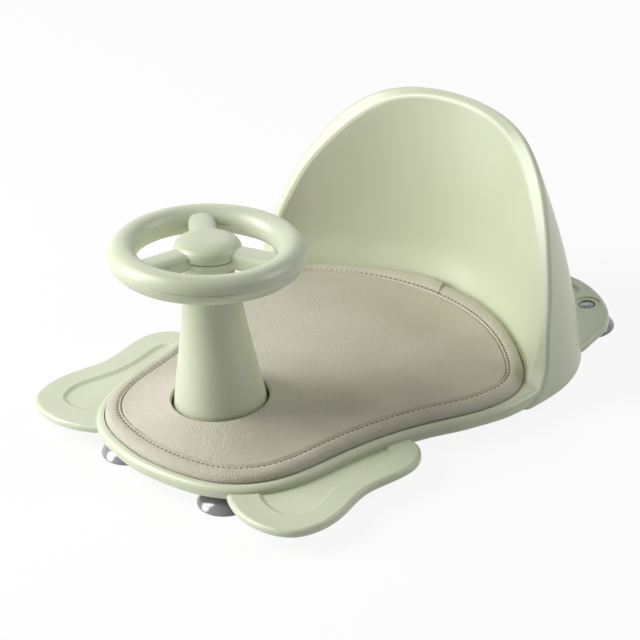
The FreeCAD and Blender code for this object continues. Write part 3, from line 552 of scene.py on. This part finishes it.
def swell(cushion):  # cloth under a light pressure fills the top panel out
    rest = np.array([v.co for v in cushion.data.vertices])
    cloth = cushion.modifiers.new("foamPressure", "CLOTH")
    settings = cloth.settings
    settings.quality = filling["quality"]
    settings.mass = filling["mass"]
    settings.tension_stiffness = settings.compression_stiffness = filling["stretch"]
    settings.shear_stiffness = filling["shear"]
    settings.bending_stiffness = filling["bend"]
    settings.use_pressure = True
    settings.uniform_pressure_force = filling["pressure"]
    settings.vertex_group_mass = "held"
    settings.effector_weights.gravity = 0
    cloth.collision_settings.use_collision = False
    cloth.collision_settings.use_self_collision = False
    cloth.point_cache.frame_start, cloth.point_cache.frame_end = 1, filling["frames"]
    for step in range(1, filling["frames"] + 1):
        scene.frame_set(step)
    shown = cushion.evaluated_get(bpy.context.evaluated_depsgraph_get())
    moved = np.array([v.co for v in shown.data.vertices])
    cushion.modifiers.remove(cloth)
    scene.frame_set(1)
    shift = moved - rest
    far = np.linalg.norm(shift, axis=1)
    print("cushion swelled by up to", round(float(far.max())/mm, 2), "mm")
    cap = filling["cap"]  # the movement nears this and never passes it
    still = 1e-9  # keeps the points that don't move from a division by zero
    shift *= (cap*(1 - np.exp(-far/cap))/np.maximum(far, still))[:, None]
    for vertex, place in zip(cushion.data.vertices, rest + shift):
        vertex.co = place
    cushion.data.update()


band = {"edgePoints": 3000, "stations": 1120,
        "lapAt": 9.3*mm, "lapLength": 16*mm, "lapSpread": 45, "slant": 11*mm, "slantFade": 60*mm,
        "overRise": 1.5*mm, "overOut": 2.0*mm, "underDrop": 1.1*mm, "ramp": 16*mm, "rampStart": 0.45,
        "seamLift": 0.5*mm, "shoulder": 0.15,
        "pucker": 0.22*mm, "puckerFrom": 0.2, "puckerLow": 0.4, "puckerScales": (75, 190),
        "puckerFine": 0.5, "puckerLayer": 3.0, "tug": 0.10*mm, "tugFade": 5.6,
        # round the section: share of the way in from the edge, share of the pad's thickness
        "section": [(0.30, 0.035), (0.16, 0.035), (0.07, 0.09), (0.02, 0.19), (0.0, 0.32), (0.012, 0.45),
                    (0.05, 0.58), (0.115, 0.71), (0.20, 0.81), (0.31, 0.885), (0.44, 0.945), (0.56, 0.985),
                    (0.67, 0.99), (0.75, 0.965), (0.80, 0.915), (0.84, 0.91), (0.875, 0.965), (0.91, 1.01),
                    (0.95, 1.005), (0.98, 0.95), (0.995, 0.84), (1.0, 0.5), (1.0, 0.035)]}
stitch = {"pitch": 4.1*mm, "share": 0.825, "level": 0.928, "segments": 8, "rings": 6}
threadSize = {"length": 2.9*mm, "thick": 0.55*mm, "shift": 0.0, "height": 0.12*mm}
# the needle holes' dark pieces are painted shade, set half a stitch along and a little lower
holeShadeSize = {"length": 1.8*mm, "thick": 1.3*mm, "shift": stitch["pitch"]/2, "height": -0.12*mm}


def bandGrid(shares, heights):  # the band's points, one row for each station along the edge
    outline = edgeLine(band["edgePoints"])
    side = outwards(outline)
    step = np.linalg.norm(np.roll(outline, -1, 0) - outline, axis=1)
    length = np.concatenate([[0], np.cumsum(step)])
    travel = np.linspace(0, length[-1] + band["lapLength"], band["stations"])[:, None]
    start = length[int(np.argmax(outline[:, 1]))] + band["lapAt"]
    slant = band["slant"]*np.clip(1 - travel/band["slantFade"], 0, 1)*shares[None, :]  # the cut end's slope
    where = (start + travel - slant) % length[-1]
    place, out = [np.stack([np.interp(where, length, np.append(line[:, k], line[0, k])) for k in (0, 1)], 2)
                  for line in (outline, side)]
    out /= np.linalg.norm(out, axis=2)[..., None]
    over = travel < length[-1]/2  # the half that lies on top where the ends lap
    ramp = np.clip(band["rampStart"] + travel/band["ramp"], 0, 1)
    back = atBack(place, band["lapSpread"])
    outer = pad["thickness"] + np.where(over, band["overRise"]*ramp, -band["underDrop"])*back
    inner = pad["thickness"] - (pad["rearDrop"] - band["seamLift"])*atBack(place, pad["dropSpread"])
    across = np.clip((shares - band["shoulder"])/(1 - band["shoulder"]), 0, 1)[None, :]
    thick = outer + (inner - outer)*smoothStep(across)
    spot = place - out*(shares[None, :]*seamInset(place))[..., None]
    spot += out*(np.where(over, band["overOut"]*ramp, 0)*back*(1 - across))[..., None]
    return spot, floorZ + heights[None, :]*thick, travel[:, 0]


def puckered(x, y, z, share, height, travel):  # soft bulges, and a pull at each stitch
    coarse, fine = band["puckerScales"]
    soft = (noise.noise(Vector((x*coarse, y*coarse, z*coarse)))
            + band["puckerFine"]*noise.noise(Vector((x*fine, y*fine, band["puckerLayer"]))))
    near = math.exp(-((share - stitch["share"])*band["tugFade"])**2)
    tug = math.cos(2*math.pi*travel/stitch["pitch"])*band["tug"]*near
    low = band["puckerLow"]  # share of the bulge that is left at the band's foot
    return z + (band["pucker"]*soft*(low + (1 - low)*height) + tug)


def makeBand():
    shares, heights = np.array(band["section"]).T
    spots, levels, travel = bandGrid(shares, heights)
    wide, stations = len(shares), band["stations"]
    points = []
    for k in range(stations):
        for c in range(wide):
            (x, y), z = spots[k, c], levels[k, c]
            if heights[c] > band["puckerFrom"]:
                z = puckered(x, y, z, shares[c], heights[c], travel[k])
            points.append((x, y, z))
    faces = []
    for r in range(stations - 1):
        for c in range(wide):
            a, b = r*wide + c, r*wide + (c + 1) % wide
            faces.append((a, a + wide, b + wide, b))
    faces.append(tuple(range(wide)))
    faces.append(tuple(range((stations - 1)*wide, stations*wide))[::-1])
    return meshObject("padBand", points, faces, leatherMaterial)


def stitchTree(name, finish, length, thick):  # small sewn pieces along a line
    tree = bpy.data.node_groups.new(name, "GeometryNodeTree")
    tree.interface.new_socket("Geometry", in_out="INPUT", socket_type="NodeSocketGeometry")
    tree.interface.new_socket("Geometry", in_out="OUTPUT", socket_type="NodeSocketGeometry")
    for label, value in (("Pitch", stitch["pitch"]), ("Length", length), ("Thickness", thick), ("Shift", 0.0)):
        tree.interface.new_socket(label, in_out="INPUT", socket_type="NodeSocketFloat").default_value = value

    def add(kind, sockets=None, **settings):
        made = tree.nodes.new(kind)
        for key, value in settings.items():
            setattr(made, key, value)
        for key, value in (sockets or {}).items():
            if isinstance(value, bpy.types.NodeSocket):
                tree.links.new(value, made.inputs[key])
            else:
                made.inputs[key].default_value = value
        return made.outputs

    source = add("NodeGroupInput")
    evenly = add("GeometryNodeResampleCurve", {"Curve": source["Geometry"], "Length": source["Pitch"]},
                 mode="LENGTH")
    spots = add("GeometryNodeCurveToPoints", {"Curve": evenly["Curve"]}, mode="EVALUATED")
    ball = add("GeometryNodeMeshUVSphere",  # one across, then stretched
               {"Segments": stitch["segments"], "Rings": stitch["rings"], "Radius": 0.5})
    size = add("ShaderNodeCombineXYZ",
               {"X": source["Thickness"], "Y": source["Thickness"], "Z": source["Length"]})
    laid = add("GeometryNodeInstanceOnPoints", {"Points": spots["Points"], "Instance": ball["Mesh"],
                                                "Rotation": spots["Rotation"], "Scale": size["Vector"]})
    along = add("ShaderNodeCombineXYZ", {"Z": source["Shift"]})
    slid = add("GeometryNodeTranslateInstances",
               {"Instances": laid["Instances"], "Translation": along["Vector"]})
    real = add("GeometryNodeRealizeInstances", {"Geometry": slid["Instances"]})
    painted = add("GeometryNodeSetMaterial", {"Geometry": real["Geometry"], "Material": finish})
    add("NodeGroupOutput", {"Geometry": painted["Geometry"]})
    return tree


def sew(name, finish, length, thick, shift, height):
    spots, levels, _ = bandGrid(np.array([stitch["share"]]), np.array([stitch["level"]]))
    curve = bpy.data.curves.new(name + "Line", "CURVE")
    curve.dimensions = "3D"
    spline = curve.splines.new("POLY")
    spline.points.add(len(spots) - 1)
    for point, (x, y), z in zip(spline.points, spots[:, 0], levels[:, 0]):
        point.co = (x, y, z + height, 1)
    holder = bpy.data.objects.new(name + "Line", curve)
    scene.collection.objects.link(holder)
    tree = stitchTree(name + "Tree", finish, length, thick)
    modifier = holder.modifiers.new("sewing", "NODES")
    modifier.node_group = tree
    sockets = {item.name: item.identifier for item in tree.interface.items_tree if item.in_out == "INPUT"}
    modifier[sockets["Shift"]] = shift
    bpy.context.view_layer.update()
    graph = bpy.context.evaluated_depsgraph_get()
    mesh = bpy.data.meshes.new_from_object(holder.evaluated_get(graph), preserve_all_data_layers=True,
                                           depsgraph=graph)
    holder.modifiers.remove(modifier)
    bpy.data.objects.remove(holder)
    mesh.name = name
    mesh.shade_smooth()
    thing = bpy.data.objects.new(name, mesh)
    scene.collection.objects.link(thing)
    print(name, "sewn:", len(mesh.vertices), "vertices")
    return thing


cushion = makeCushion()
swell(cushion)
padBand = makeBand()
stitches = sew("padStitches", threadMaterial, **threadSize)
# dark pieces between the stitches paint the shade inside the needle holes
needleHoleShadePieces = sew("padNeedleHoleShade", holeShadeMaterial, **holeShadeSize)
for piece in (cushion, padBand, stitches, needleHoleShadePieces):
    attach(piece, "seat")
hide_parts("pad_cover", "pad_foam", "pad_backing")
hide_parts("pad_binding")
print("pad sewn")
